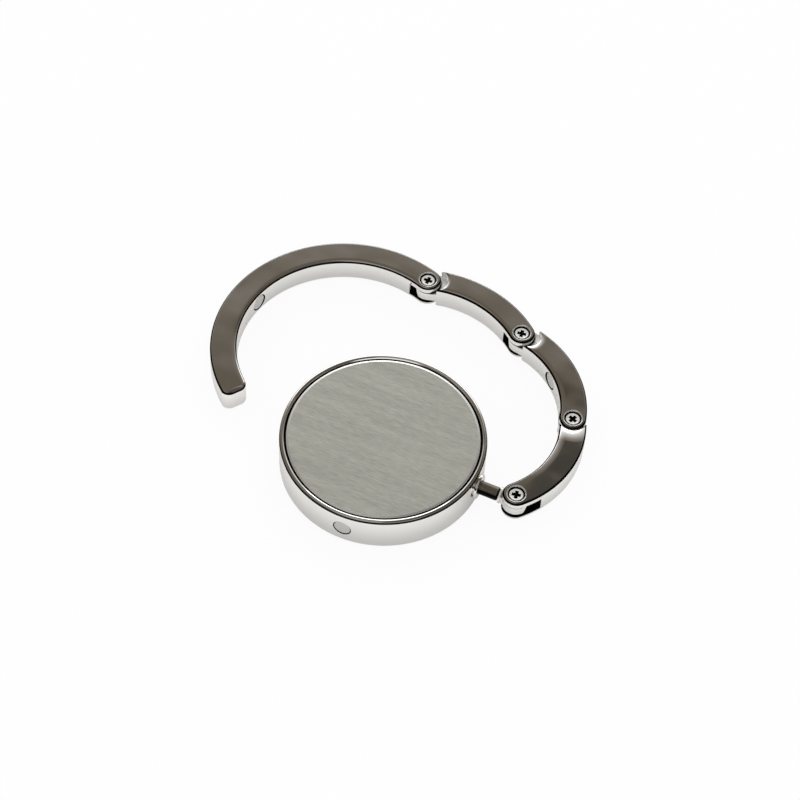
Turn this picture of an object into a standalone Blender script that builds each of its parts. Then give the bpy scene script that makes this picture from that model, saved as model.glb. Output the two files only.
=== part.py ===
"""Folding purse hook: a round table head with a swivelling chain of curved links that ends in a hook arm.

Frame: metres, +Z up, origin at the middle of the rubber base, +X along the swivel stud.
The chain stands as it does in use, opened into a hook beside the head and level with it.
"""

import bmesh
import bpy
from math import asin, atan2, cos, pi, radians, sin, sqrt
from mathutils import Vector

# Head
head_radius = 0.0225
head_height = 0.0092
rim_round = 0.0006
head_foot_height = 0.0004
wall_thickness = 0.0027
rim_width = 0.0015
plate_thickness = 0.0008
plate_sink = 0.0002
plate_groove = 0.0004
tape_thickness = 0.0002
tape_margin = 0.0010
deck_thickness = 0.0008
base_ledge = 0.0008
base_thickness = 0.0008
pad_thickness = 0.00075
pad_round = 0.0002

# Gaps between pieces
seat_gap = 0.0001
running_gap = 0.0002
bore_gap = 0.00015
cut_overrun = 0.0010
weld_distance = 0.000001

# Swivel stud, on the X axis at this height
axis_height = 0.0045
stud_radius = 0.0015
stud_collar_radius = 0.0018
stud_collar_width = 0.0005
stud_groove_radius = 0.00125
stud_groove_width = 0.0004
stud_end_round = 0.0002
clip_groove_radius = 0.0010
clip_radius = 0.0022
clip_thickness = 0.0004
clip_mouth = 0.0014
stud_tail = 0.0008
wave_washer_radius = 0.0023
wave_washer_thickness = 0.0003
bush_radius = 0.0023
bush_flange_radius = 0.0028
bush_flange_thickness = 0.0005
bush_length = 0.0042

# Links: cross section and hinges
link_half_width = 0.00295
link_edge_round = 0.0003
tongue_thickness = 0.0022
upper_ear_thickness = 0.0016
lower_ear_thickness = 0.00075
washer_room = 0.0009
washer_thickness = 0.0005
washer_radius = 0.0022
slot_inner_length = 0.0028
slot_outer_length = 0.0051
seat_radius = 0.0031
seat_setback = 0.0016
seat_run = 0.0050
tongue_reach = 0.00285
tip_corner = 0.0012

# Pivot screws
screw_shank_radius = 0.00095
screw_head_radius = 0.00145
screw_head_height = 0.0005
screw_head_sink = 0.0004
screw_edge = 0.00015
recess_radius = 0.0019
recess_chamfer = 0.00025
cross_length = 0.0019
cross_width = 0.0005
cross_depth = 0.00035

# Magnets
magnet_radius = 0.0019
magnet_length = 0.0018
magnet_edge = 0.00015
magnet_sink = 0.0001
head_magnet_bearings = {"head_magnet_front": radians(-88.0), "head_magnet_rear": radians(72.0)}
hook_magnet_angle = radians(98.0)

# Chain: distance between pivots, radius of the middle line, and bearing in the frame
swivel_reach = 0.0313
link_a_pitch = 0.0242
link_a_radius = 0.0218
link_a_bearing = radians(81.8)
link_b_pitch = 0.0258
link_b_radius = 0.0232
link_b_bearing = radians(138.3)
link_c_pitch = 0.0258
link_c_radius = 0.0258
link_c_bearing = radians(169.0)
hook_radius = 0.0272
hook_bearing = radians(161.0)
hook_sweep = radians(163.5)

# Facets
head_steps = 72
bore_steps = 24
ring_steps = 28
ear_steps = 10
corner_steps = 3
link_steps = 9
hook_steps = 34

# Sizes that follow
plate_radius = head_radius - rim_width
plate_top = head_height - plate_sink
deck_top = plate_top - plate_thickness - tape_thickness - 2 * seat_gap
deck_bottom = deck_top - deck_thickness
cavity_radius = head_radius - wall_thickness
base_seat_radius = cavity_radius + base_ledge
base_bottom = pad_thickness + seat_gap
base_top = base_bottom + base_thickness
ledge_height = base_top + seat_gap
tongue_half = tongue_thickness / 2
slot_top = tongue_half + running_gap
link_top = slot_top + upper_ear_thickness
slot_bottom = -tongue_half - washer_room
link_bottom = slot_bottom - lower_ear_thickness
screw_head_top = link_top - screw_head_sink
recess_floor = screw_head_top - screw_head_height - bore_gap
shank_hole_radius = screw_shank_radius + bore_gap

FINISHES = {
    "chrome": ((0.42, 0.40, 0.38), 1.0, 0.12),
    "brushed": ((0.36, 0.35, 0.34), 1.0, 0.38),
    "steel": ((0.50, 0.50, 0.50), 1.0, 0.30),
    "magnet": ((0.62, 0.62, 0.61), 1.0, 0.28),
    "bronze": ((0.45, 0.30, 0.16), 1.0, 0.35),
    "nylon": ((0.03, 0.03, 0.03), 0.0, 0.55),
    "rubber": ((0.03, 0.03, 0.03), 0.0, 0.80),
    "tape": ((0.70, 0.66, 0.55), 0.0, 0.70),
}


def clear_scene():
    for obj in list(bpy.data.objects):
        bpy.data.objects.remove(obj, do_unlink=True)


def new_collection(name):
    collection = bpy.data.collections.new(name)
    bpy.context.scene.collection.children.link(collection)
    return collection


def paint(obj, finish):
    colour, metallic, roughness = FINISHES[finish]
    material = bpy.data.materials.new(obj.name + "_" + finish)
    material.use_nodes = True
    shader = material.node_tree.nodes["Principled BSDF"]
    shader.inputs["Base Color"].default_value = (*colour, 1.0)
    shader.inputs["Metallic"].default_value = metallic
    shader.inputs["Roughness"].default_value = roughness
    material.diffuse_color = (*colour, 1.0)
    obj.data.materials.append(material)


def place(obj, parent=None, at=(0, 0, 0), turn=(0, 0, 0)):
    obj.parent = parent
    obj.location = at
    obj.rotation_euler = turn
    return obj


def turned(name, profile, steps, home, closed=False):
    """A profile of (radius, height) points, top to bottom on the outer side, turned about Z."""
    mesh = bpy.data.meshes.new(name)
    edges = [(i, i + 1) for i in range(len(profile) - 1)]
    if closed:
        edges.append((len(profile) - 1, 0))
    mesh.from_pydata([(r, 0, z) for r, z in profile], edges, [])
    obj = bpy.data.objects.new(name, mesh)
    home.objects.link(obj)
    screw = obj.modifiers.new("Turn", "SCREW")
    screw.axis = "Z"
    screw.angle = 2 * pi
    screw.steps = steps
    screw.render_steps = steps
    screw.use_merge_vertices = True
    screw.merge_threshold = weld_distance
    screw.use_smooth_shade = True
    return obj


def rod(radius, top, bottom, edge=0):
    """Profile of a rod; edge is the chamfer at both ends."""
    if edge:
        return [(0, top), (radius - edge, top), (radius, top - edge),
                (radius, bottom + edge), (radius - edge, bottom), (0, bottom)]
    return [(0, top), (radius, top), (radius, bottom), (0, bottom)]


def ring(outer, inner, top, bottom):
    return [(inner, top), (outer, top), (outer, bottom), (inner, bottom)]


def flat_solid(name, outline, bottom, top, home):
    """A flat outline with thickness, from a filled curve whose caps are welded on."""
    curve = bpy.data.curves.new(name, "CURVE")
    curve.dimensions = "2D"
    curve.fill_mode = "BOTH"
    curve.extrude = (top - bottom) / 2
    spline = curve.splines.new("POLY")
    spline.points.add(len(outline) - 1)
    for point, (x, y) in zip(spline.points, outline):
        point.co = (x, y, 0, 1)
    spline.use_cyclic_u = True
    guide = bpy.data.objects.new(name, curve)
    home.objects.link(guide)
    mesh = bpy.data.meshes.new_from_object(guide.evaluated_get(bpy.context.evaluated_depsgraph_get()))
    bpy.data.objects.remove(guide, do_unlink=True)
    shape = bmesh.new()
    shape.from_mesh(mesh)
    bmesh.ops.remove_doubles(shape, verts=shape.verts, dist=weld_distance)
    bmesh.ops.translate(shape, verts=shape.verts, vec=(0, 0, (top + bottom) / 2))
    bmesh.ops.recalc_face_normals(shape, faces=shape.faces)
    if shape.calc_volume(signed=True) < 0:
        bmesh.ops.reverse_faces(shape, faces=shape.faces)
    shape.to_mesh(mesh)
    shape.free()
    obj = bpy.data.objects.new(name, mesh)
    home.objects.link(obj)
    return obj


def block(name, low, high, home):
    """A box between two corners."""
    mesh = bpy.data.meshes.new(name)
    shape = bmesh.new()
    bmesh.ops.create_cube(shape, size=1)
    size = Vector(high) - Vector(low)
    bmesh.ops.scale(shape, verts=shape.verts, vec=size)
    bmesh.ops.translate(shape, verts=shape.verts, vec=(Vector(high) + Vector(low)) / 2)
    shape.to_mesh(mesh)
    shape.free()
    obj = bpy.data.objects.new(name, mesh)
    home.objects.link(obj)
    return obj


def combine(obj, other, operation="DIFFERENCE"):
    """Cuts or joins another shape, which stays as a hidden guide in the object's own frame."""
    boolean = obj.modifiers.new(other.name, "BOOLEAN")
    boolean.operation = operation
    boolean.solver = "EXACT"
    boolean.object = other
    other.hide_render = True
    other.display_type = "WIRE"


def round_edges(obj, width, segments=2):
    bevel = obj.modifiers.new("Round edges", "BEVEL")
    bevel.width = width
    bevel.segments = segments
    bevel.limit_method = "ANGLE"
    bevel.angle_limit = radians(50)


def arc(centre, radius, start, end, steps):
    return [(centre[0] + radius * cos(start + (end - start) * i / steps),
             centre[1] + radius * sin(start + (end - start) * i / steps)) for i in range(steps + 1)]


def unit(angle):
    return Vector((cos(angle), sin(angle)))


def quarter(centre, radius, start, steps=corner_steps):
    """A rounded corner of a turned profile, clockwise so that it runs down the outer side."""
    return arc(centre, radius, start, start - pi / 2, steps)


def magnet_profile():
    return rod(magnet_radius, magnet_length / 2, -magnet_length / 2, magnet_edge)


def magnet_pocket(name, home):
    """Cutter for a blind magnet hole: its open end runs out along +Z past the magnet's outer face."""
    top = magnet_length / 2 + magnet_sink + cut_overrun
    return turned(name, rod(magnet_radius + seat_gap, top, -magnet_length / 2 - seat_gap), bore_steps, home)


def make_housing(parts, cutters):
    """Cast cup: rounded rim, recess for the inlay plate, deck, wall and a ledge for the base plate."""
    top_inner = plate_radius + plate_groove
    foot_round = rim_round / 2
    profile = [(0, deck_top), (top_inner, deck_top), (top_inner, head_height - rim_round / 2),
               (top_inner + rim_round / 2, head_height)]
    profile += quarter((head_radius - rim_round, head_height - rim_round), rim_round, pi / 2)
    profile += quarter((head_radius - foot_round, head_foot_height + foot_round), foot_round, 0)
    profile += [(base_seat_radius, head_foot_height), (base_seat_radius, ledge_height),
                (cavity_radius, ledge_height), (cavity_radius, deck_bottom), (0, deck_bottom)]
    housing = turned("housing", profile, head_steps, parts)
    bore = turned("cut_bush_bore", rod(bush_radius + bore_gap, head_radius + cut_overrun,
                                       cavity_radius - cut_overrun), bore_steps, cutters)
    combine(housing, place(bore, at=(0, 0, axis_height), turn=(0, pi / 2, 0)))
    for name, bearing in head_magnet_bearings.items():
        pocket = magnet_pocket("cut_" + name, cutters)
        combine(housing, place(pocket, at=head_magnet_place(bearing), turn=(0, pi / 2, bearing)))
    paint(housing, "chrome")


def head_magnet_place(bearing):
    reach = head_radius - magnet_sink - magnet_length / 2
    return (reach * cos(bearing), reach * sin(bearing), axis_height)


def make_head_fittings(parts):
    """What is set into the cup: inlay plate, its tape, base plate, rubber pad and two magnets."""
    plate = turned("top_plate", rod(plate_radius, plate_top, plate_top - plate_thickness, seat_gap), head_steps, parts)
    paint(plate, "brushed")
    tape_top = plate_top - plate_thickness - seat_gap
    tape = turned("plate_tape", rod(plate_radius - tape_margin, tape_top, tape_top - tape_thickness), head_steps, parts)
    paint(tape, "tape")
    disc_radius = base_seat_radius - seat_gap
    base = turned("base_plate", rod(disc_radius, base_top, base_bottom), head_steps, parts)
    paint(base, "steel")
    pad = turned("base_pad", rod(disc_radius, pad_thickness, 0, pad_round), head_steps, parts)
    paint(pad, "rubber")
    for name, bearing in head_magnet_bearings.items():
        magnet = turned(name, magnet_profile(), bore_steps, parts)
        place(magnet, at=head_magnet_place(bearing), turn=(0, pi / 2, bearing))
        paint(magnet, "magnet")


def make_swivel(parts, cutters):
    """Flanged bush in the wall, stud with a flat eye, and the spring washer and clip that hold it."""
    axis = bpy.data.objects.new("swivel_axis", None)
    parts.objects.link(axis)
    place(axis, at=(0, 0, axis_height))
    flange_face = head_radius + seat_gap
    bush_end = flange_face - bush_length
    bore = stud_radius + bore_gap
    flange_top = flange_face + bush_flange_thickness
    bush = turned("stud_bush", [(bore, flange_top), (bush_flange_radius, flange_top),
                                (bush_flange_radius, flange_face), (bush_radius, flange_face),
                                (bush_radius, bush_end), (bore, bush_end)], ring_steps, parts, closed=True)
    place(bush, axis, turn=(0, pi / 2, 0))
    paint(bush, "chrome")

    washer_end = bush_end - seat_gap
    washer = turned("wave_washer", ring(wave_washer_radius, bore, washer_end, washer_end - wave_washer_thickness),
                    ring_steps, parts, closed=True)
    place(washer, axis, turn=(0, pi / 2, 0))
    paint(washer, "steel")

    clip_face = washer_end - wave_washer_thickness - seat_gap
    clip_back = clip_face - clip_thickness
    clip = turned("retaining_clip", ring(clip_radius, clip_groove_radius + bore_gap, clip_face, clip_back),
                  ring_steps, parts, closed=True)
    place(clip, axis, turn=(0, pi / 2, 0))
    mouth = block("cut_clip_mouth", (-cut_overrun, -clip_mouth / 2, clip_back - cut_overrun),
                  (clip_radius + cut_overrun, clip_mouth / 2, clip_face + cut_overrun), cutters)
    combine(clip, place(mouth, axis, turn=(0, pi / 2, 0)))
    paint(clip, "steel")

    groove_front = clip_face + seat_gap
    groove_back = clip_back - seat_gap
    collar_front = swivel_reach - link_half_width - running_gap
    collar_back = collar_front - stud_collar_width
    neck_back = collar_back - stud_groove_width
    tail = groove_back - stud_tail
    shaft = turned("guide_stud_shaft", [
        (0, collar_front), (stud_collar_radius - stud_end_round, collar_front),
        (stud_collar_radius, collar_front - stud_end_round), (stud_collar_radius, collar_back),
        (stud_groove_radius, collar_back), (stud_groove_radius, neck_back),
        (stud_radius, neck_back), (stud_radius, groove_front), (clip_groove_radius, groove_front),
        (clip_groove_radius, groove_back), (stud_radius, groove_back), (stud_radius, tail + stud_end_round),
        (stud_radius - stud_end_round, tail), (0, tail)], ring_steps, cutters)
    place(shaft, axis, turn=(0, pi / 2, 0))
    eye_back = collar_front - stud_collar_width / 2
    side = stud_radius - stud_end_round
    outline = [(eye_back, side)]
    outline += reversed(arc((swivel_reach, 0), tongue_reach, -pi + asin(side / tongue_reach),
                            pi - asin(side / tongue_reach), 2 * ear_steps))
    outline.append((eye_back, -side))
    stud = flat_solid("swivel_stud", outline, -tongue_half, tongue_half, parts)
    place(stud, axis)
    combine(stud, shaft, "UNION")
    eye_bore = turned("cut_stud_eye", rod(shank_hole_radius, tongue_half + cut_overrun,
                                          -tongue_half - cut_overrun), bore_steps, cutters)
    combine(stud, place(eye_bore, axis, at=(swivel_reach, 0, 0)))
    paint(stud, "chrome")
    return axis


def hinge_axis(name, parent, at, turn, parts):
    """Empty on a pivot, turned so that its +X runs along the link's chord or tangent."""
    axis = bpy.data.objects.new(name, None)
    parts.objects.link(axis)
    return place(axis, parent, at=(*at, 0), turn=(0, 0, turn))


def cut_fork(link, axis, tangent, cutters):
    """Slot between the two ears, and the screw's hole with its recess in the upper ear.

    The slot's end is slanted, deeper on the outer side, where the tongue's corner swings to its stop.
    """
    reach = link_half_width + cut_overrun
    middle = (slot_inner_length + slot_outer_length) / 2
    slant = (slot_outer_length - slot_inner_length) / 2 * reach / link_half_width
    slot = flat_solid("cut_slot_" + link.name, [(-reach, -reach), (middle + slant, -reach),
                                                (middle - slant, reach), (-reach, reach)],
                      slot_bottom, slot_top, cutters)
    combine(link, place(slot, axis, turn=(0, 0, tangent)))
    above = link_top + cut_overrun
    wide = recess_radius + recess_chamfer
    hole = turned("cut_screw_" + link.name, [
        (0, above), (wide + cut_overrun, above), (recess_radius, link_top - recess_chamfer),
        (recess_radius, recess_floor), (shank_hole_radius, recess_floor),
        (shank_hole_radius, link_bottom - cut_overrun), (0, link_bottom - cut_overrun)], bore_steps, cutters)
    combine(link, place(hole, axis))


def cut_tongue(link, axis, pivot, tangent, cutters):
    """Concave seats above and below the tongue, which leave room for the next link's ears, and its hole."""
    back = arc((-seat_setback, 0), seat_radius, pi / 2, 3 * pi / 2, 2 * ear_steps)
    outline = back + [(seat_run, -seat_radius), (seat_run, seat_radius)]
    for side, low, high in (("upper", tongue_half, link_top + cut_overrun),
                            ("lower", link_bottom - cut_overrun, -tongue_half)):
        seat = flat_solid("cut_seat_" + side + "_" + link.name, outline, low, high, cutters)
        combine(link, place(seat, axis, at=(*pivot, 0), turn=(0, 0, tangent)))
    bore = turned("cut_tongue_" + link.name, rod(shank_hole_radius, tongue_half + cut_overrun,
                                                 -tongue_half - cut_overrun), bore_steps, cutters)
    combine(link, place(bore, axis, at=(*pivot, 0)))


def link_outline(pitch, radius):
    """Plan of a link: round ear at the first pivot, curved body, and a tongue past the second.

    The tongue is round on the inner side and square on the outer side, where its corner meets the
    end of the next link's slot and stops the chain from opening further.
    """
    half_turn = asin(pitch / 2 / radius)
    centre = (pitch / 2, sqrt(radius ** 2 - (pitch / 2) ** 2))
    start = -pi / 2 - half_turn
    end = -pi / 2 + half_turn
    outline = arc(centre, radius + link_half_width, start, end, link_steps)
    ahead = unit(half_turn)
    left = unit(half_turn + pi / 2)
    pivot = Vector((pitch, 0))
    outline.append(tuple(pivot + tongue_reach * ahead - link_half_width * left))
    outline += arc(tuple(pivot + (tongue_reach - link_half_width) * ahead), link_half_width,
                   half_turn, half_turn + pi / 2, ear_steps)
    outline += arc(centre, radius - link_half_width, end, start, link_steps)[1:]
    outline += arc((0, 0), link_half_width, pi / 2 - half_turn, 3 * pi / 2 - half_turn, 2 * ear_steps)[1:-1]
    return outline, half_turn, centre


def make_link(name, parent, at, bearing, turn_before, pitch, radius, parts, cutters, magnet=False):
    axis = hinge_axis(name + "_axis", parent, at, bearing - turn_before, parts)
    outline, half_turn, centre = link_outline(pitch, radius)
    link = flat_solid(name, outline, link_bottom, link_top, parts)
    place(link, axis)
    round_edges(link, link_edge_round)
    if magnet:
        set_magnet(name + "_magnet", link, axis, centre, radius - link_half_width, -pi / 2, parts, cutters)
    cut_fork(link, axis, -half_turn, cutters)
    cut_tongue(link, axis, (pitch, 0), half_turn, cutters)
    paint(link, "chrome")
    make_hinge_fittings(name, axis, parts, cutters)
    return axis


def make_hook_arm(parent, at, turn, parts, cutters):
    """Last link: a long arc that carries the bag, with a fork at the pivot and a blunt rounded tip."""
    axis = hinge_axis("hook_arm_axis", parent, at, turn, parts)
    centre = (0, hook_radius)
    start = -pi / 2
    end = start + hook_sweep
    outer = hook_radius + link_half_width
    inner = hook_radius - link_half_width
    outline = arc(centre, outer, start, end - tip_corner / outer, hook_steps)
    tip = Vector(centre) + outer * unit(end)
    ahead = unit(end + pi / 2)
    inward = -unit(end)
    outline += arc(tuple(tip + tip_corner * inward - tip_corner * ahead), tip_corner, end, end + pi / 2, corner_steps)[1:]
    root = Vector(centre) + inner * unit(end)
    outline += arc(tuple(root - tip_corner * inward - tip_corner * ahead), tip_corner,
                   end + pi / 2, end + pi, corner_steps)
    outline += arc(centre, inner, end - tip_corner / inner, start, hook_steps)[1:]
    outline += arc((0, 0), link_half_width, pi / 2, 3 * pi / 2, 2 * ear_steps)[1:-1]
    arm = flat_solid("hook_arm", outline, link_bottom, link_top, parts)
    place(arm, axis)
    round_edges(arm, link_edge_round)
    set_magnet("hook_arm_magnet", arm, axis, centre, inner, start + hook_magnet_angle, parts, cutters)
    cut_fork(arm, axis, 0, cutters)
    paint(arm, "chrome")
    make_hinge_fittings("hook_arm", axis, parts, cutters)


def set_magnet(name, link, axis, centre, inner, bearing, parts, cutters):
    """Magnet set into a link's inner wall, its face turned to the centre of the curve."""
    reach = inner + magnet_sink + magnet_length / 2
    spot = (centre[0] + reach * cos(bearing), centre[1] + reach * sin(bearing), 0)
    pocket = magnet_pocket("cut_" + name, cutters)
    combine(link, place(pocket, axis, at=spot, turn=(0, -pi / 2, bearing)))
    magnet = turned(name, magnet_profile(), bore_steps, parts)
    place(magnet, axis, at=spot, turn=(0, -pi / 2, bearing))
    paint(magnet, "magnet")


def make_hinge_fittings(owner, axis, parts, cutters):
    """Cross-slot pivot screw and the friction washer that lies under the tongue."""
    head_under = screw_head_top - screw_head_height
    screw = turned(owner + "_screw", [
        (0, screw_head_top), (screw_head_radius - screw_edge, screw_head_top),
        (screw_head_radius, screw_head_top - screw_edge), (screw_head_radius, head_under),
        (screw_shank_radius, head_under), (screw_shank_radius, link_bottom + screw_edge),
        (screw_shank_radius - screw_edge, link_bottom), (0, link_bottom)], bore_steps, parts)
    place(screw, axis)
    for side, (long, wide) in {"x": (cross_length, cross_width), "y": (cross_width, cross_length)}.items():
        slot = block("cut_cross_" + side + "_" + owner, (-long / 2, -wide / 2, screw_head_top - cross_depth),
                     (long / 2, wide / 2, screw_head_top + cut_overrun), cutters)
        combine(screw, place(slot, axis))
    paint(screw, "steel")
    washer_bottom = slot_bottom + (washer_room - washer_thickness) / 2
    washer = turned(owner + "_washer", ring(washer_radius, shank_hole_radius, washer_bottom + washer_thickness,
                                            washer_bottom), bore_steps, parts, closed=True)
    place(washer, axis)
    paint(washer, "nylon")


def main():
    clear_scene()
    parts = new_collection("purse_hook")
    cutters = new_collection("cutters")
    make_housing(parts, cutters)
    make_head_fittings(parts)
    swivel = make_swivel(parts, cutters)
    axis_a = make_link("link_a", swivel, (swivel_reach, 0), link_a_bearing, 0,
                       link_a_pitch, link_a_radius, parts, cutters)
    axis_b = make_link("link_b", axis_a, (link_a_pitch, 0), link_b_bearing, link_a_bearing,
                       link_b_pitch, link_b_radius, parts, cutters, magnet=True)
    axis_c = make_link("link_c", axis_b, (link_b_pitch, 0), link_c_bearing, link_b_bearing,
                       link_c_pitch, link_c_radius, parts, cutters)
    make_hook_arm(axis_c, (link_c_pitch, 0), hook_bearing - link_c_bearing, parts, cutters)


main()
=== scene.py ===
"""Dresses the folding purse hook in polished, brushed and rubber finishes, on a pale stage with a camera."""

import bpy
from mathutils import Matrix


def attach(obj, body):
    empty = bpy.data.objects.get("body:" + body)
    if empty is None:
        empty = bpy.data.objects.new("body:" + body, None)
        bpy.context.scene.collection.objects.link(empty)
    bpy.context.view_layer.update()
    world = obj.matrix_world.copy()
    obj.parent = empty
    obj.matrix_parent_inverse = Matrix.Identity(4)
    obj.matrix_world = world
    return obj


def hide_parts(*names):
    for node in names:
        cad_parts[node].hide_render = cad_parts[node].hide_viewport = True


bl_info = {
    "name": "Folding purse hook",
    "version": (1, 0, 0),
    "blender": (4, 5, 0),
    "location": "3D View > Sidebar > Purse hook",
    "description": "Builds the visible pieces of a folding purse hook over its packed CAD frame",
    "category": "Object",
}

from math import asin, cos, pi, radians, sin, sqrt

import bmesh
import bpy
from bpy.props import FloatProperty, FloatVectorProperty, IntProperty, PointerProperty
from mathutils import Matrix, Vector

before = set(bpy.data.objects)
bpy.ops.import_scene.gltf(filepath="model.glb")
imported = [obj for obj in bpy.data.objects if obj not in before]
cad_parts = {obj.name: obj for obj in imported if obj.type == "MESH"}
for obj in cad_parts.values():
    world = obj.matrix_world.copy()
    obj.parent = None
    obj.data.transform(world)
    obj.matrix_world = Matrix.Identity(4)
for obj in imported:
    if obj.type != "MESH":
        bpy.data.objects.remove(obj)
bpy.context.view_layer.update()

MM = 0.001


def linear(hex_colour):
    """An sRGB hex colour as linear red, green and blue."""
    parts = [int(hex_colour[i:i + 2], 16) / 255 for i in (1, 3, 5)]
    return tuple(p / 12.92 if p <= 0.04045 else ((p + 0.055) / 1.055) ** 2.4 for p in parts)


def length(name, description, default):
    """A size in metres, typed here in millimetres."""
    return FloatProperty(name=name, description=description, default=default * MM, unit="LENGTH", precision=5)


def angle(name, description, default):
    """An angle in radians, typed here in degrees."""
    return FloatProperty(name=name, description=description, default=radians(default), subtype="ANGLE")


def point(name, description, default):
    """A place in metres, typed here in millimetres."""
    return FloatVectorProperty(name=name, description=description, default=[value * MM for value in default],
                               size=3, subtype="TRANSLATION")


def colour(name, description, default):
    """A linear colour, typed here as sRGB hex."""
    return FloatVectorProperty(name=name, description=description, default=linear(default),
                               size=3, subtype="COLOR", min=0, max=1)


class HeadSizes(bpy.types.PropertyGroup):
    radius: length("Radius", "Outer radius of the round head", 22.5)
    height: length("Height", "Height of the rim above the table", 9.2)
    foot: length("Foot", "Height at which the side wall ends above the table", 0.4)
    foot_round: length("Foot rounding", "Radius of the wall's lower edge", 0.3)
    rim_width: length("Rim width", "From the side wall to the inlay plate", 1.5)
    rim_round: length("Rim rounding", "Radius of the rim's outer edge", 0.6)
    lip: length("Inner lip", "Width of the shallow slope inside the rim", 0.25)
    lip_drop: length("Lip drop", "Height that this slope loses", 0.09)
    bevel: length("Inner bevel", "Width of the steep bevel below the lip", 0.12)
    bevel_drop: length("Bevel drop", "Height that the bevel loses", 0.21)
    groove: length("Groove", "Width of the dark gap round the inlay plate", 0.42)
    groove_depth: length("Groove depth", "Depth of the gap below the rim", 1.2)
    plate_sink: length("Plate sink", "How far the inlay plate lies below the rim", 0.2)
    plate_thickness: length("Plate thickness", "Thickness of the inlay plate", 0.8)
    plate_edge: length("Plate edge", "Width of the inlay plate's chamfer", 0.45)
    plate_drop: length("Plate edge drop", "Height of that chamfer", 0.12)
    wall: length("Wall", "Thickness of the side wall", 2.7)
    deck: length("Deck", "Thickness of the deck under the inlay plate", 0.8)
    ledge: length("Ledge", "Width of the step that holds the base plate", 0.8)
    ledge_height: length("Ledge height", "Height of that step above the table", 1.75)
    axis_height: length("Axis height", "Height of the swivel stud's axis", 4.5)
    steps: IntProperty(name="Steps", description="Facets round the head", default=240, min=48)


class StudSizes(bpy.types.PropertyGroup):
    radius: length("Radius", "Radius of the stud's shaft", 1.5)
    reach: length("Reach", "From the head's middle to the first pivot", 31.3)
    tail: length("Tail", "Inner end of the shaft, from the head's middle", 16.2)
    collar_radius: length("Collar radius", "Radius of the collar next to the eye", 1.8)
    collar_width: length("Collar width", "Width of that collar", 0.5)
    groove_radius: length("Groove radius", "Radius at the groove behind the collar", 1.25)
    groove_width: length("Groove width", "Width of that groove", 0.4)
    collar_gap: length("Collar gap", "From the collar to the first link", 0.2)
    end_round: length("End rounding", "Rounding of the shaft's edges", 0.15)
    flange_radius: length("Flange radius", "Radius of the bush's flange", 2.8)
    flange_thickness: length("Flange thickness", "Thickness of that flange", 0.5)
    bush_radius: length("Bush radius", "Radius of the bush inside the wall", 2.3)
    bush_length: length("Bush length", "Length of the bush inside the wall", 4.2)
    fit_gap: length("Fit gap", "Gap round the bush and behind its flange", 0.1)
    running_gap: length("Running gap", "Gap between the shaft and the bush", 0.15)


class LinkSizes(bpy.types.PropertyGroup):
    half_width: length("Half width", "Half the width of a link", 2.95)
    edge: length("Edge rounding", "Rounding of the long edges", 0.46)
    fine_edge: length("Fine edge", "Broken edge at slots, seats and holes", 0.08)
    tongue: length("Tongue", "Thickness of a tongue or eye", 2.2)
    upper_ear: length("Upper ear", "Thickness of the ear above the slot", 1.6)
    lower_ear: length("Lower ear", "Thickness of the ear below the slot", 0.75)
    gap_above: length("Gap above", "Running gap above the tongue", 0.2)
    gap_below: length("Gap below", "Room below the tongue for the friction washer", 0.9)
    slot_inner: length("Slot, inner side", "Depth of the slot past the pivot on the inner side", 2.8)
    slot_outer: length("Slot, outer side", "Depth of the slot past the pivot on the outer side", 5.1)
    seat_radius: length("Seat radius", "Radius of the hollow seat that clears the next link's ears", 3.1)
    seat_setback: length("Seat setback", "How far the seat's middle lies behind the pivot", 1.6)
    first_setback: length("First setback", "The same on the first link, whose seat is close to the ear", 0.4)
    tongue_reach: length("Tongue reach", "From the pivot to the tongue's end", 2.85)
    tip_corner: length("Tip corner", "Rounding of the hook arm's tip in plan", 2.0)
    bore: length("Bore", "Radius of the screw's hole", 1.1)
    recess: length("Recess", "Radius of the screw's recess", 1.9)
    recess_chamfer: length("Recess chamfer", "Chamfer of that recess", 0.26)
    recess_depth: length("Recess depth", "Depth of that recess", 1.05)


class ScrewSizes(bpy.types.PropertyGroup):
    head_radius: length("Head radius", "Radius of the pivot screw's head", 1.55)
    head_height: length("Head height", "Height of that head", 0.5)
    sink: length("Sink", "Depth of the head below the link's top", 0.4)
    shank: length("Shank", "Radius of the shank", 0.95)
    edge: length("Edge", "Rounding of the head", 0.15)
    rim: length("Rim", "Width of the slope inside the head's rim", 0.2)
    dish: length("Dish", "Depth of the dished flat inside the rim", 0.1)
    cross_length: length("Cross length", "Length of the cross recess", 2.3)
    cross_width: length("Cross width", "Width of the cross recess", 0.9)
    cross_depth: length("Cross depth", "Depth of the cross recess", 0.42)
    cross_turn: angle("Cross turn", "Angle of the cross recess from its link", 20)
    cross_floor: FloatProperty(name="Cross floor", description="Its floor against its mouth", default=0.6)


class MagnetSizes(bpy.types.PropertyGroup):
    radius: length("Radius", "Radius of a disc magnet", 1.9)
    depth: length("Depth", "Thickness of a disc magnet", 1.8)
    edge: length("Edge", "Rounding of its edge", 0.15)
    sink: length("Sink", "Depth of its face below the wall", 0.1)
    gap: length("Gap", "Gap round it in its pocket", 0.18)


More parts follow.
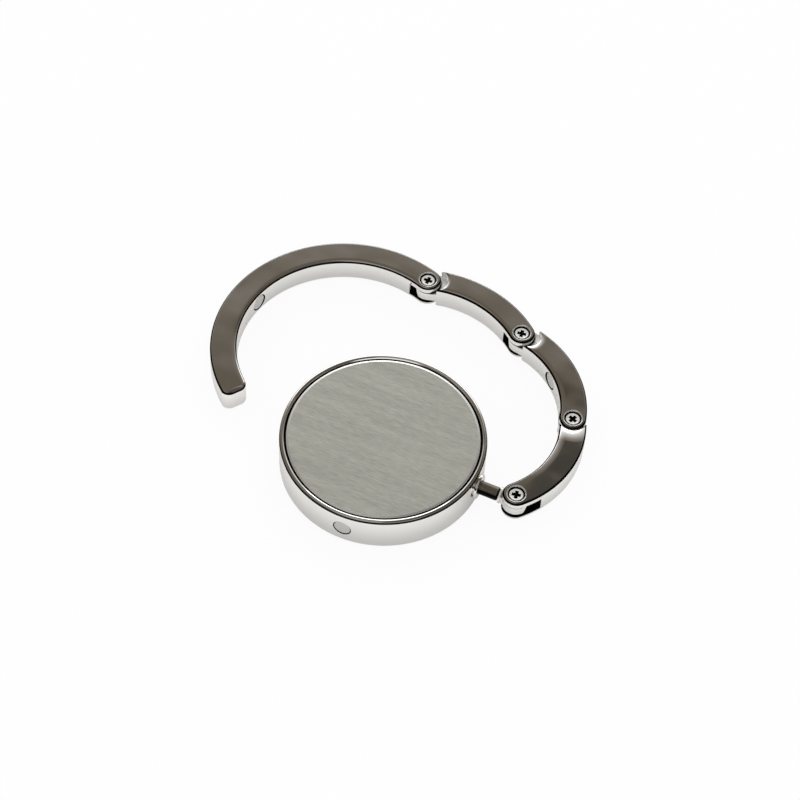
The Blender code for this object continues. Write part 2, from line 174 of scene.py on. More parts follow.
class Finishes(bpy.types.PropertyGroup):
    chrome: colour("Chrome", "Polished nickel and chrome plate", "#EEECE8")
    # Painted reflection: a dark tone on the rounded upper edges, standing in for the dark room that they
    # mirror
    edge: colour("Edge", "Rounded edges, where the plate is thin and looks dark", "#1E1C1A")
    satin: colour("Satin plate", "Plated surfaces that the buffing wheel doesn't reach", "#F8F7F4")
    shaft: colour("Stud plate", "Nickel plate on the turned stud, duller than the buffed castings", "#8F867A")
    # Painted shade: this dark tone stands in for the shade in slots, pockets, holes and grooves, and the
    # painted dark edges keep it at a glancing angle
    shadow: colour("Dark recess", "Slots, pockets and recesses, left dark by the plating bath", "#1C1A18")
    brushed: colour("Brushed steel", "Inlay plate", "#DDDDD4")
    steel: colour("Bright steel", "Screws, clip and washers", "#F0EFEB")
    magnet: colour("Magnet", "Nickel plate on the magnets", "#CFCDC9")
    nylon: colour("Nylon", "Friction washers", "#1B1B1B")
    rubber: colour("Rubber", "Pad under the head", "#1E1E1F")
    tape: colour("Tape", "Adhesive tape under the inlay plate", "#C9C2A8")


class StageLook(bpy.types.PropertyGroup):
    floor: colour("Floor", "Pale floor", "#F7F7F7")
    horizon: colour("Horizon", "Pale backdrop round the stage", "#FFFFFF")
    ceiling: colour("Ceiling", "Dim ceiling that the polished tops mirror", "#60584D")
    flank: colour("Flank", "Darker end of the ceiling on the right", "#3C3B38")
    room: colour("Room", "Dark room behind the camera", "#0E0D0C")
    window_spot: point("Window", "Middle of the window that lights the object", (-430, 1080, 320))
    window_width: length("Window width", "Width of that window", 1600)
    window_height: length("Window height", "Height of that window", 450)
    window_power: FloatProperty(name="Window power", description="Light of that window in watts", default=3.0)
    focal: FloatProperty(name="Focal length", description="Lens of the photograph", default=99.0, min=1)
    azimuth: angle("Azimuth", "Camera bearing", 21.71)
    elevation: angle("Elevation", "Camera height angle", 53.2)
    roll: angle("Roll", "Camera roll", 3.42)
    distance: length("Distance", "Camera to target", 492.1)
    target: point("Target", "Point the camera looks at", (-3.38, 16.87, 0))


# Pitch and middle radius of each link in millimetres, and its chord's bearing in degrees
LINKS = {
    "link_a": (24.2, 21.8, 81.8),
    "link_b": (25.8, 23.2, 138.3),
    "link_c": (25.8, 25.8, 169.0),
}
# Middle radius in millimetres; bearing of the first tangent and sweep in degrees
HOOK_RADIUS = 27.2
HOOK_BEARING = 161.0
HOOK_SWEEP = 163.5
CHAIN = (*LINKS, "hook_arm")

# Body of each magnet, and its bearing in degrees: on a link it counts from the curve's near side
MAGNETS = {
    "head_magnet_front": ("head", -88.0),
    "head_magnet_rear": ("head", 72.0),
    "link_b_magnet": ("link_b", 0.0),
    "hook_arm_magnet": ("hook_arm", 98.0),
}

# How buffing rounds a top face: width in millimetres and slope along the inner edge, the same at the far end,
# and whether the inner edge's slope dies out away from that end
BUFFING = {
    "link_a": (1.8, 0.5, 3.2, 0.32, True),
    "link_b": (1.3, 0.17, 1.3, 0.4, False),
    "link_c": (1.3, 0.17, 0.6, 0.4, False),
    "hook_arm": (1.3, 0.17, 1.6, 0.32, False),
}

# Height of a face's normal on a rounded upper edge, between which the edge is painted dark as a painted
# reflection: on a link, on the link's buffed side and on the head
EDGE_SLOPES = (0.12, 0.97)
BUFFED_SLOPES = (0.12, 0.8)
RIM_SLOPES = (0.05, 0.75)

# The studio's sky by height, as the sine of the elevation: a colour's name, or the share of the way from the
# ceiling's colour to the horizon's
FAR_SKY = ((0.42, "horizon"), (0.58, 0.46), (0.69, 0.18), (0.755, 0.08), (0.80, 0.01), (0.86, "ceiling"),
           (0.95, 0.22))
NEAR_SKY = ((0.15, "horizon"), (0.20, "room"), (0.42, "room"), (0.62, 0.25), (0.95, 0.22))

# How far the floor glows towards the camera and in mirrors, and the soft light on matt surfaces
SEEN_GLOW = 0.92
MIRRORED_GLOW = 0.15
SOFT_LIGHT = 0.95

# What a cutter reaches past what it cuts, a tolerance for tests on faces, and the facets of round shapes
OVERRUN = 1 * MM
NEAR = 0.01 * MM
HOLE_STEPS = 48
ROUND_STEPS = 64
STUD_STEPS = 96

# Degrees between two faces above which their edge is drawn sharp
SHARP = 32

# The middle of a noise texture's output, and a soft start and end for a change of tone
NOISE = {"From Min": 0.3, "From Max": 0.7}
SMOOTH = {"interpolation_type": "SMOOTHSTEP"}


# Shapes

def new_object(name, shape):
    """A mesh object from a bmesh, smooth where its faces meet softly."""
    mesh = bpy.data.meshes.new(name)
    shape.to_mesh(mesh)
    shape.free()
    mesh.shade_smooth()
    mesh.set_sharp_from_angle(angle=radians(SHARP))
    obj = bpy.data.objects.new(name, mesh)
    bpy.context.scene.collection.objects.link(obj)
    return obj


def solid(name, shape, place):
    """A closed bmesh as an object, placed and with its faces turned outwards."""
    bmesh.ops.transform(shape, matrix=place, verts=shape.verts)
    bmesh.ops.recalc_face_normals(shape, faces=shape.faces)
    if shape.calc_volume(signed=True) < 0:
        bmesh.ops.reverse_faces(shape, faces=shape.faces)
    return new_object(name, shape)


def turned(name, profile, steps, place=Matrix(), closed=False):
    """A profile of (radius, height) points turned about Z, then placed."""
    shape = bmesh.new()
    verts = [shape.verts.new((r, 0, z)) for r, z in profile]
    edges = [shape.edges.new(pair) for pair in zip(verts, verts[1:])]
    if closed:
        edges.append(shape.edges.new((verts[-1], verts[0])))
    bmesh.ops.spin(shape, geom=verts + edges, angle=2 * pi, steps=steps, axis=(0, 0, 1),
                   cent=(0, 0, 0), use_merge=True)
    bmesh.ops.remove_doubles(shape, verts=shape.verts, dist=0.0005 * MM)
    return solid(name, shape, place)


def slab(name, outline, bottom, top, place=Matrix(), end_scale=1.0):
    """A flat outline with thickness; end_scale tapers its lower face towards the middle."""
    shape = bmesh.new()
    low = [shape.verts.new((x * end_scale, y * end_scale, bottom)) for x, y in outline]
    high = [shape.verts.new((x, y, top)) for x, y in outline]
    shape.faces.new(low)
    shape.faces.new(high)
    for i in range(len(outline)):
        j = (i + 1) % len(outline)
        shape.faces.new((low[i], low[j], high[j], high[i]))
    return solid(name, shape, place)


def paint(obj, material):
    """Gives a new piece its first finish."""
    obj.data.materials.append(material)
    return obj


def paint_faces(obj, material, chosen):
    """A second finish for the faces that pass a test."""
    obj.data.materials.append(material)
    for face in obj.data.polygons:
        if chosen(face):
            face.material_index = len(obj.data.materials) - 1


def paint_edge(obj, buffed=None):
    """Painted reflection: a dark finish on the rounded upper edges; towards a buffed spot their upper half is
    left bright.
    """
    def chosen(face):
        bright = buffed and (Vector(buffed) - face.center.xy).dot(face.normal.xy) > 0
        low, high = BUFFED_SLOPES if bright else EDGE_SLOPES
        return low < face.normal.z < high

    paint_faces(obj, plated_edge(), chosen)


def paint_shaded_walls(obj, name, bottom, top):
    """Gives the upright faces a plate with painted light and shade: darker at the foot, brighter towards
    their top.
    """
    wall = shared("plated_wall_" + name, polished_chrome, settings().finish.chrome,
                  shade=(bottom, top, 0.87, 1.16))
    paint_faces(obj, wall, lambda face: abs(face.normal.z) < 0.1)


def apply_modifiers(obj):
    """Keeps the modified shape as the object's own mesh."""
    graph = bpy.context.evaluated_depsgraph_get()
    mesh = bpy.data.meshes.new_from_object(obj.evaluated_get(graph))
    old = obj.data
    obj.modifiers.clear()
    obj.data = mesh
    bpy.data.meshes.remove(old)


def cut(obj, *cutters, operation="DIFFERENCE"):
    """Cuts or joins other shapes and removes them."""
    for cutter in cutters:
        modifier = obj.modifiers.new(cutter.name, "BOOLEAN")
        modifier.operation = operation
        modifier.solver = "EXACT"
        modifier.material_mode = "TRANSFER"
        modifier.object = cutter
        apply_modifiers(obj)
        bpy.data.objects.remove(cutter, do_unlink=True)


def break_edges(obj, width, segments, sharper_than):
    """Rounds every edge sharper than an angle in degrees."""
    bevel = obj.modifiers.new("Edges", "BEVEL")
    bevel.width = width
    bevel.segments = segments
    bevel.limit_method = "ANGLE"
    bevel.angle_limit = radians(sharper_than)
    bevel.use_clamp_overlap = False
    bevel.harden_normals = False
    apply_modifiers(obj)


def even_normals(obj, sharp=SHARP):
    """Lets the large faces set the shading, so that flats look flat and meet in a line above that angle."""
    obj.data.shade_smooth()
    obj.data.set_sharp_from_angle(angle=radians(sharp))
    weighted = obj.modifiers.new("Flat faces", "WEIGHTED_NORMAL")
    weighted.weight = 100
    weighted.keep_sharp = True


def arc(centre, radius, start, end, steps):
    """Points along an arc, both ends included."""
    return [(centre[0] + radius * cos(start + (end - start) * i / steps),
             centre[1] + radius * sin(start + (end - start) * i / steps)) for i in range(steps + 1)]


def unit(bearing):
    """A step of one along a bearing in plan."""
    return Vector((cos(bearing), sin(bearing)))


def quarter(centre, radius, start, steps=6):
    """Rounded corner of a turned profile, clockwise."""
    return arc(centre, radius, start, start - pi / 2, steps)


def rod(radius, top, bottom, edge):
    """Turned profile of a rod with rounded ends."""
    return ([(0, top)] + quarter((radius - edge, top - edge), edge, pi / 2)
            + quarter((radius - edge, bottom + edge), edge, 0) + [(0, bottom)])


def plain_rod(radius, top, bottom):
    """Turned profile of a rod with square ends."""
    return [(0, top), (radius, top), (radius, bottom), (0, bottom)]


def pose(at=(0, 0, 0), turn=0, tilt=0):
    """Placement: a tilt about Y, then a turn about Z, then the move."""
    return Matrix.Translation(at) @ Matrix.Rotation(turn, 4, "Z") @ Matrix.Rotation(tilt, 4, "Y")


# Finishes

def new_material(name):
    """A material with an empty node tree."""
    material = bpy.data.materials.new(name)
    material.use_nodes = True
    material.node_tree.nodes.clear()
    return material, material.node_tree


def shared(name, make, *values, **more):
    """A finish that several pieces have, made once."""
    return bpy.data.materials.get(name) or make(name, *values, **more)


def add(tree, kind, inputs=None, **options):
    """Adds one node with its settings; an input may be a value, an output or a node, for its first output."""
    node = tree.nodes.new("ShaderNode" + kind)
    for key, value in options.items():
        setattr(node, key, value)
    for key, value in (inputs or {}).items():
        if isinstance(value, bpy.types.Node):
            value = value.outputs[0]
        if isinstance(value, bpy.types.NodeSocket):
            tree.links.new(value, node.inputs[key])
        else:
            node.inputs[key].default_value = value
    return node


def rgba(value):
    """A colour with full cover."""
    return (*value, 1.0)


def plan_distance(tree, place, spot):
    """Distance in plan from a spot on the table, in metres."""
    flat = add(tree, "VectorMath", {0: place, 1: (1, 1, 0)}, operation="MULTIPLY")
    return add(tree, "VectorMath", {0: flat, 1: (*spot, 0)}, operation="DISTANCE").outputs["Value"]


def curved(tree, distance, flat, steep, slope):
    """Height of a surface that is level at one distance and has the slope at the other."""
    share = add(tree, "MapRange", {"Value": distance, "From Min": flat, "From Max": steep})
    square = add(tree, "Math", {0: share, 1: share}, operation="MULTIPLY")
    return add(tree, "Math", {0: square, 1: slope * (steep - flat) / 2}, operation="MULTIPLY")


def rounded(tree, place, spot, reach, width, slope):
    """Height of a top face that buffing rounds down towards a spot, steepest at the reach from it."""
    return curved(tree, plan_distance(tree, place, spot), reach + width, reach, slope)


def polished_chrome(name, tone, edge=None, end=None, fade=False, shade=None, haze_level=0.05,
                    glance=(1, 1, 1)):
    """Zinc casting, buffed and plated with nickel and chrome: a sharp mirror with a faint haze.

    Buffing rounds a link's inner edge and its far end: edge and end each give what rounded() asks for. fade
    lets the edge's slope die out away from the end. shade gives two heights and the brightness at each, as
    painted light and shade: the foot of a wall and the underside of the stud are painted darker than their
    top, and the top of a wall brighter than the plate's tone. glance is the tone that is left at a glancing
    angle.
    """
    material, tree = new_material(name)
    place = add(tree, "TexCoord").outputs["Object"]
    # Buffing haze in patches about 5 mm across
    haze = add(tree, "TexNoise", {"Vector": place, "Scale": 1 / (5 * MM), "Detail": 3.0, "Roughness": 0.5})
    rough = add(tree, "MapRange", {"Value": haze, **NOISE, "To Min": haze_level, "To Max": haze_level + 0.04})
    # Slight unevenness of the buffed casting: swells 10 mm long, with slopes of about a degree
    swell = add(tree, "TexNoise", {"Vector": place, "Scale": 1 / (10 * MM), "Detail": 1.0})
    height = add(tree, "Math", {0: swell, 1: 0.22 * MM}, operation="MULTIPLY")
    if edge:
        side = rounded(tree, place, *edge)
        if fade:
            # Full within 2 mm of the end, a tenth from 15 mm on
            spot, reach = end[:2]
            distance = plan_distance(tree, place, spot)
            share = add(tree, "MapRange", {"Value": distance, "From Min": reach + 2 * MM,
                                           "From Max": reach + 15 * MM, "To Min": 1.0, "To Max": 0.1})
            side = add(tree, "Math", {0: side, 1: share}, operation="MULTIPLY")
        height = add(tree, "Math", {0: height, 1: side}, operation="ADD")
    if end:
        height = add(tree, "Math", {0: height, 1: rounded(tree, place, *end)}, operation="ADD")
    bump = add(tree, "Bump", {"Height": height, "Strength": 1.0, "Distance": 1.0})
    base = rgba(tone)
    if shade:
        low, high, least, most = shade
        axes = add(tree, "SeparateXYZ", {"Vector": place})
        light = add(tree, "MapRange", {"Value": axes.outputs["Z"], "From Min": low, "From Max": high,
                                       "To Min": least, "To Max": most}, **SMOOTH)
        base = add(tree, "VectorMath", {0: tone, 1: light}, operation="MULTIPLY")
    shader = add(tree, "BsdfPrincipled", {
        "Base Color": base, "Metallic": 1.0, "Roughness": rough, "Specular Tint": rgba(glance),
        "Normal": bump})
    add(tree, "OutputMaterial", {"Surface": shader})
    return material


def plated_edge():
    """Painted dark reflection on the casting's rounded edges: it stays dark at a glancing angle too."""
    look = settings().finish
    return shared("plated_edge", polished_chrome, look.edge, glance=look.shadow)


def hollow_seat(name, tone, pivot, far, ear):
    """Plated seat milled hollow with a round cutter: a pale satin that climbs away from the pivot.

    Close to the ear above it the plate is painted dark, as painted shade under the ear.
    """
    material, tree = new_material(name)
    place = add(tree, "TexCoord").outputs["Object"]
    # Cutter marks about 0.3 mm apart
    marks = add(tree, "TexNoise", {"Vector": place, "Scale": 1 / (0.3 * MM), "Detail": 2.0})
    rough = add(tree, "MapRange", {"Value": marks, **NOISE, "To Min": 0.26, "To Max": 0.38})
    distance = plan_distance(tree, place, pivot)
    # Painted shade: dark next to the ear, reaching full tone within half a millimetre of it
    light = add(tree, "MapRange", {"Value": distance, "From Min": ear + 0.1 * MM, "From Max": ear + 0.5 * MM,
                                   "To Min": 0.02, "To Max": 1.0})
    tinted = add(tree, "VectorMath", {0: tone, 1: light}, operation="MULTIPLY")
    climb = curved(tree, distance, ear * 0.4, far, 0.5)
    bump = add(tree, "Bump", {"Height": climb, "Strength": 1.0, "Distance": 1.0})
    shader = add(tree, "BsdfPrincipled", {
        "Base Color": tinted, "Metallic": 0.5, "Roughness": rough, "Normal": bump})
    add(tree, "OutputMaterial", {"Surface": shader})
    return material


def grained(name, tone, roughness, metallic, size, detail, bump, tones=None, roughs=None):
    """A plain finish with a fine grain of a size in metres, raised by the bump's strength and height.

    tones and roughs give the least and the most by which the grain multiplies the tone and the roughness.
    """
    material, tree = new_material(name)
    place = add(tree, "TexCoord").outputs["Object"]
    grain = add(tree, "TexNoise", {"Vector": place, "Scale": 1 / size, "Detail": detail})
    base = rgba(tone)
    if tones:
        level = add(tree, "MapRange", {"Value": grain, **NOISE, "To Min": tones[0], "To Max": tones[1]})
        base = add(tree, "VectorMath", {0: tone, 1: level}, operation="MULTIPLY")
    if roughs:
        least, most = roughs
        roughness = add(tree, "MapRange", {"Value": grain, **NOISE, "To Min": roughness * least,
                                           "To Max": roughness * most})
    raised = add(tree, "Bump", {"Height": grain, "Strength": bump[0], "Distance": bump[1]})
    shader = add(tree, "BsdfPrincipled", {
        "Base Color": base, "Metallic": metallic, "Roughness": roughness, "Normal": raised})
    add(tree, "OutputMaterial", {"Surface": shader})
    return material


def dark_recess():
    """Painted shade inside slots, pockets, holes and grooves: dark and unbuffed, with the 0.25 mm grain of
    the mould.
    """
    return shared("dark_recess", grained, settings().finish.shadow, 0.6, 1.0, 0.25 * MM, 2.0,
                  (0.15, 0.01 * MM), tones=(0.88, 1.08))


def bright_steel(name, tone, roughness, metallic=1.0):
    """Cold-headed and turned steel, nickel flashed: bright, with faint tool marks about 0.3 mm apart."""
    return grained(name, tone, roughness, metallic, 0.3 * MM, 3.0, (0.15, 0.01 * MM), roughs=(0.8, 1.3))


def moulded_plastic(name, tone, roughness):
    """Plain moulded or coated plastic film: even, with a 0.2 mm grain."""
    return grained(name, tone, roughness, 0.0, 0.2 * MM, 2.0, (0.1, 0.02 * MM), tones=(0.9, 1.1))


def moulded_rubber(name, tone):
    """Moulded black rubber: matt, with a fine grain and a little bloom."""
    material, tree = new_material(name)
    place = add(tree, "TexCoord").outputs["Object"]
    # Grain of the mould, about 0.25 mm, and bloom in patches of about 4 mm
    grain = add(tree, "TexVoronoi", {"Vector": place, "Scale": 1 / (0.25 * MM)})
    bloom = add(tree, "TexNoise", {"Vector": place, "Scale": 1 / (4 * MM), "Detail": 4.0})
    level = add(tree, "MapRange", {"Value": bloom, **NOISE, "To Min": 0.85, "To Max": 1.35})
    tinted = add(tree, "VectorMath", {0: tone, 1: level}, operation="MULTIPLY")
    bump = add(tree, "Bump", {"Height": grain, "Strength": 0.3, "Distance": 0.04 * MM})
    shader = add(tree, "BsdfPrincipled", {"Base Color": tinted, "Roughness": 0.82, "Normal": bump})
    add(tree, "OutputMaterial", {"Surface": shader})
    return material


def brushed_steel(name, tone):
    """Stainless sheet, linear brushed: fine parallel streaks that spread the light across them."""
    material, tree = new_material(name)
    place = add(tree, "TexCoord").outputs["Object"]
    # Real brush lines are about 0.05 mm apart; 0.2 mm is the finest that shows from here
    lines = add(tree, "Mapping", {"Vector": place,
                                  "Scale": (1 / (2.2 * MM), 1 / (0.18 * MM), 1 / (2.2 * MM))})
    fine = add(tree, "TexNoise", {"Vector": lines, "Scale": 1.0, "Detail": 3.0, "Roughness": 0.6})
    # Broader bands, 14 mm long and 1.2 mm apart
    bands = add(tree, "Mapping", {"Vector": place, "Scale": (1 / (14 * MM), 1 / (1.2 * MM), 1 / (14 * MM))})
    broad = add(tree, "TexNoise", {"Vector": bands, "Scale": 1.0, "Detail": 2.0})
    both = add(tree, "Math", {0: broad, 1: 0.4, 2: fine}, operation="MULTIPLY_ADD")
    level = add(tree, "MapRange", {"Value": both, "From Min": 0.45, "From Max": 0.95,
                                   "To Min": 0.78, "To Max": 1.22})
    tinted = add(tree, "VectorMath", {0: tone, 1: level}, operation="MULTIPLY")
    rough = add(tree, "MapRange", {"Value": fine, **NOISE, "To Min": 0.42, "To Max": 0.58})
    bump = add(tree, "Bump", {"Height": fine, "Strength": 0.35, "Distance": 0.03 * MM})
    across = add(tree, "Tangent", direction_type="UV_MAP", uv_map="across_brush")
    shader = add(tree, "BsdfPrincipled", {
        "Base Color": tinted, "Metallic": 0.85, "Roughness": rough, "Anisotropic": 0.6, "Tangent": across,
        "Normal": bump})
    add(tree, "OutputMaterial", {"Surface": shader})
    return material


def dress(obj, body, node):
    """Ties a new piece to its body and the CAD node that it stands for."""
    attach(obj, body)
    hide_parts(node)


def dress_node(node, material):
    """Gives a CAD node its finish."""
    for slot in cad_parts[node].material_slots:
        slot.material = material


# Places

def settings():
    """The sizes and colours in the sidebar."""
    return bpy.context.scene.purse_hook


def pivots():
    """Pivot of each link in plan, in metres, with the bearing of its chord or tangent."""
    x, y = settings().stud.reach, 0.0
    result = {}
    for name, (pitch, _, degrees) in LINKS.items():
        bearing = radians(degrees)
        result[name] = ((x, y), bearing)
        x += pitch * MM * cos(bearing)
        y += pitch * MM * sin(bearing)
    result["hook_arm"] = ((x, y), radians(HOOK_BEARING))
    return result


def next_pivot(name):
    """Pivot in plan at a link's far end."""
    return pivots()[CHAIN[CHAIN.index(name) + 1]][0]


def link_place(name):
    """Placement of a link: its pivot on the stud's level, its chord or tangent along X."""
    (x, y), bearing = pivots()[name]
    return pose((x, y, settings().head.axis_height), bearing)


def on_table(name, spot):
    """A spot in a link's own plan, as a spot on the table."""
    placed = link_place(name) @ Vector((*spot, 0))
    return (placed.x, placed.y)


def heights():
    """Levels of a link above the stud's axis."""
    link = settings().link
    half = link.tongue / 2
    slot_top = half + link.gap_above
    slot_bottom = -half - link.gap_below
    return half, slot_top, slot_top + link.upper_ear, slot_bottom, slot_bottom - link.lower_ear


def bend(name):
    """Centre and middle radius of a link's curve, in the link's own plan."""
    if name == "hook_arm":
        return (0, HOOK_RADIUS * MM), HOOK_RADIUS * MM
    pitch, radius, _ = LINKS[name]
    half, radius = pitch * MM / 2, radius * MM
    return (half, sqrt(radius ** 2 - half ** 2)), radius


def link_plan(name):
    """Plan of a short link along its chord, and the half angle of its arc."""
    link = settings().link
    wide = link.half_width
    centre, radius = bend(name)
    half = asin(centre[0] / radius)
    start, end = -pi / 2 - half, -pi / 2 + half
    outline = arc(centre, radius + wide, start, end, 36)
    ahead, left = unit(half), unit(half + pi / 2)
    pivot = Vector((2 * centre[0], 0))
    outline.append(tuple(pivot + link.tongue_reach * ahead - wide * left))
    outline += arc(tuple(pivot + (link.tongue_reach - wide) * ahead), wide, half, half + pi / 2, 20)
    outline += arc(centre, radius - wide, end, start, 32)[1:]
    outline += arc((0, 0), wide, pi / 2 - half, 3 * pi / 2 - half, 40)[1:-1]
    return outline, half


def hook_plan():
    """Plan of the hook arm along its first tangent."""
    link = settings().link
    wide, corner = link.half_width, link.tip_corner
    centre, radius = bend("hook_arm")
    start = -pi / 2
    end = start + radians(HOOK_SWEEP)
    outer, inner = radius + wide, radius - wide
    outline = arc(centre, outer, start, end - corner / outer, 140)
    ahead, inward = unit(end + pi / 2), -unit(end)
    tip = Vector(centre) + outer * unit(end)
    outline += arc(tuple(tip + corner * inward - corner * ahead), corner, end, end + pi / 2, 10)[1:]
    root = Vector(centre) + inner * unit(end)
    outline += arc(tuple(root - corner * inward - corner * ahead), corner, end + pi / 2, end + pi, 10)
    outline += arc(centre, inner, end - corner / inner, start, 120)[1:]
    outline += arc((0, 0), wide, pi / 2, 3 * pi / 2, 40)[1:-1]
    return outline


def drill(name, profile, steps, place):
    """A turned cutter whose hole is painted dark, as painted shade."""
    return paint(turned("cut_" + name, profile, steps, place), dark_recess())


def fork_cutters(name, tangent):
    """Slot between the ears, and the screw's recess and hole with the recess's chamfer."""
    link = settings().link
    place = link_place(name)
    _, slot_top, top, slot_bottom, bottom = heights()
    reach = link.half_width + OVERRUN
    middle = (link.slot_inner + link.slot_outer) / 2
    slant = (link.slot_outer - link.slot_inner) / 2 * reach / link.half_width
    slot = slab("cut_slot_" + name, [(-reach, -reach), (middle + slant, -reach), (middle - slant, reach),
                                     (-reach, reach)], slot_bottom, slot_top, place @ pose(turn=tangent))
    floor = top - link.recess_depth
    hole = drill("hole_" + name, [
        (0, top + OVERRUN), (link.recess, top + OVERRUN), (link.recess, floor), (link.bore, floor),
        (link.bore, bottom - OVERRUN), (0, bottom - OVERRUN)], ROUND_STEPS, place)
    # The chamfer's cone runs on both ways: wider above the face, narrower below the chamfer's foot
    past = 0.1 * MM
    foot = top - link.recess_chamfer - past
    chamfer = turned("cut_chamfer_" + name, [
        (0, top + OVERRUN), (link.recess + link.recess_chamfer + OVERRUN, top + OVERRUN),
        (link.recess - past, foot), (0, foot)], ROUND_STEPS, place)
    ring = shared("bright_recess_chamfer", bright_steel, settings().finish.steel, 0.25, 0.75)
    # The slot is painted dark, as painted shade between the ears
    return paint(slot, dark_recess()), hole, paint(chamfer, ring)


def tongue_cutters(name, pivot, tangent, setback, satin):
    """Hollow seats above and below the tongue, and its hole."""
    link = settings().link
    half, _, top, _, bottom = heights()
    outline = arc((-setback, 0), link.seat_radius, pi / 2, 3 * pi / 2, 48)
    # The seat is open towards the next link
    beyond = 5 * MM
    outline += [(beyond, -link.seat_radius), (beyond, link.seat_radius)]
    at = link_place(name) @ pose((*pivot, 0), tangent)
    upper = slab("cut_seat_upper_" + name, outline, half, top + OVERRUN, at)
    # The lower seat's upright faces are painted dark, as painted shade under the tongue; its flat faces take
    # the satin
    lower = paint(slab("cut_seat_lower_" + name, outline, bottom - OVERRUN, -half, at), dark_recess())
    paint_faces(lower, satin, lambda face: abs(face.normal.z) > 0.5)
    hole = drill("tongue_" + name, plain_rod(link.bore, half + OVERRUN, -half - OVERRUN), HOLE_STEPS, at)
    return paint(upper, satin), lower, hole


def magnet_place(name):
    """Placement of a magnet: its face outwards on the head, towards the curve's centre on a link."""
    sizes = settings()
    magnet, head = sizes.magnet, sizes.head
    body, degrees = MAGNETS[name]
    if body == "head":
        bearing = radians(degrees)
        reach = head.radius - magnet.sink - magnet.depth / 2
        return pose((reach * cos(bearing), reach * sin(bearing), head.axis_height), bearing, pi / 2)
    centre, radius = bend(body)
    bearing = radians(degrees) - pi / 2
    reach = radius - sizes.link.half_width + magnet.sink + magnet.depth / 2
    spot = Vector(centre) + reach * unit(bearing)
    return link_place(body) @ pose((*spot, 0), bearing, -pi / 2)


def pockets(body):
    """Cutters for the pockets of a body's magnets."""
    magnet = settings().magnet
    profile = plain_rod(magnet.radius + magnet.gap, magnet.depth / 2 + magnet.sink + OVERRUN,
                        -magnet.depth / 2 - magnet.gap)
    return [drill(name, profile, ROUND_STEPS, magnet_place(name))
            for name, (owner, _) in MAGNETS.items() if owner == body]


def casting(name, outline, end, cutters, buffed=None):
    """A link or the hook arm: the buffed and plated body, cut out, with its cut edges broken."""
    sizes = settings()
    link, axis = sizes.link, sizes.head.axis_height
    _, _, top, _, bottom = heights()
    centre, radius = bend(name)
    width, slope, end_width, end_slope, fade = BUFFING[name]
    chrome = polished_chrome("chrome_plated_" + name, sizes.finish.chrome,
                             (on_table(name, centre), radius - link.half_width, width * MM, slope),
                             (*end, end_width * MM, end_slope), fade)
    body = paint(slab(name + "_casting", outline, bottom, top, link_place(name)), chrome)
    break_edges(body, link.edge, segments=6, sharper_than=60)
    # Painted reflection: the rounded upper edges are painted dark
    paint_edge(body, buffed)
    # Painted light and shade on the walls: darker at the foot, brighter at the top
    paint_shaded_walls(body, "link", axis + bottom, axis + top)
    cut(body, *cutters, *pockets(name))
    break_edges(body, link.fine_edge, segments=2, sharper_than=40)
    even_normals(body)
    dress(body, name, name)


# Operators

class PURSEHOOK_OT_housing(bpy.types.Operator):
    """Cast head: rounded rim, inner lip, dark groove round the inlay, side wall with magnet pockets"""
    bl_idname = "purse_hook.housing"
    bl_label = "Housing"

    def execute(self, context):
        sizes = context.scene.purse_hook
        head, stud = sizes.head, sizes.stud
        groove_wall = head.radius - head.rim_width + head.groove
        cavity = head.radius - head.wall
        base_seat = cavity + head.ledge
        deck_top = head.height - head.groove_depth
        deck_bottom = deck_top - head.deck
        lip_foot = head.height - head.lip_drop
        bevel_foot = lip_foot - head.bevel_drop
        rim_start = head.radius - head.rim_round
        profile = [(0, deck_top), (groove_wall, deck_top), (groove_wall, bevel_foot),
                   (groove_wall + head.bevel, lip_foot), (groove_wall + head.bevel + head.lip, head.height)]
        profile += quarter((rim_start, head.height - head.rim_round), head.rim_round, pi / 2, 10)
        profile += quarter((head.radius - head.foot_round, head.foot + head.foot_round), head.foot_round, 0)
        profile += [(base_seat, head.foot), (base_seat, head.ledge_height), (cavity, head.ledge_height),
                    (cavity, deck_bottom), (0, deck_bottom)]
        body = paint(turned("head_casting", profile, head.steps),
                     polished_chrome("chrome_plated_head", sizes.finish.chrome))
        # Painted light and shade on the side wall: darker at the foot, brighter at the top
        paint_shaded_walls(body, "head", head.foot, head.height)
        # Painted shade: the groove round the inlay plate is painted dark
        paint_faces(body, dark_recess(),
                    lambda face: face.center.z < bevel_foot and face.center.xy.length < groove_wall + NEAR)
        # Painted reflection: the rim's outer rounding is painted dark
        low, high = RIM_SLOPES
        paint_faces(body, plated_edge(),
                    lambda face: low < face.normal.z < high and face.center.z > head.foot + 1 * MM
                    and face.center.xy.length > rim_start)
        profile = plain_rod(stud.bush_radius + stud.fit_gap, head.radius + OVERRUN, cavity - OVERRUN)
        bore = drill("bore", profile, ROUND_STEPS, pose((0, 0, head.axis_height), 0, pi / 2))
        cut(body, *pockets("head"), bore)
        even_normals(body, sharp=14)
        dress(body, "head", "housing")
        return {"FINISHED"}


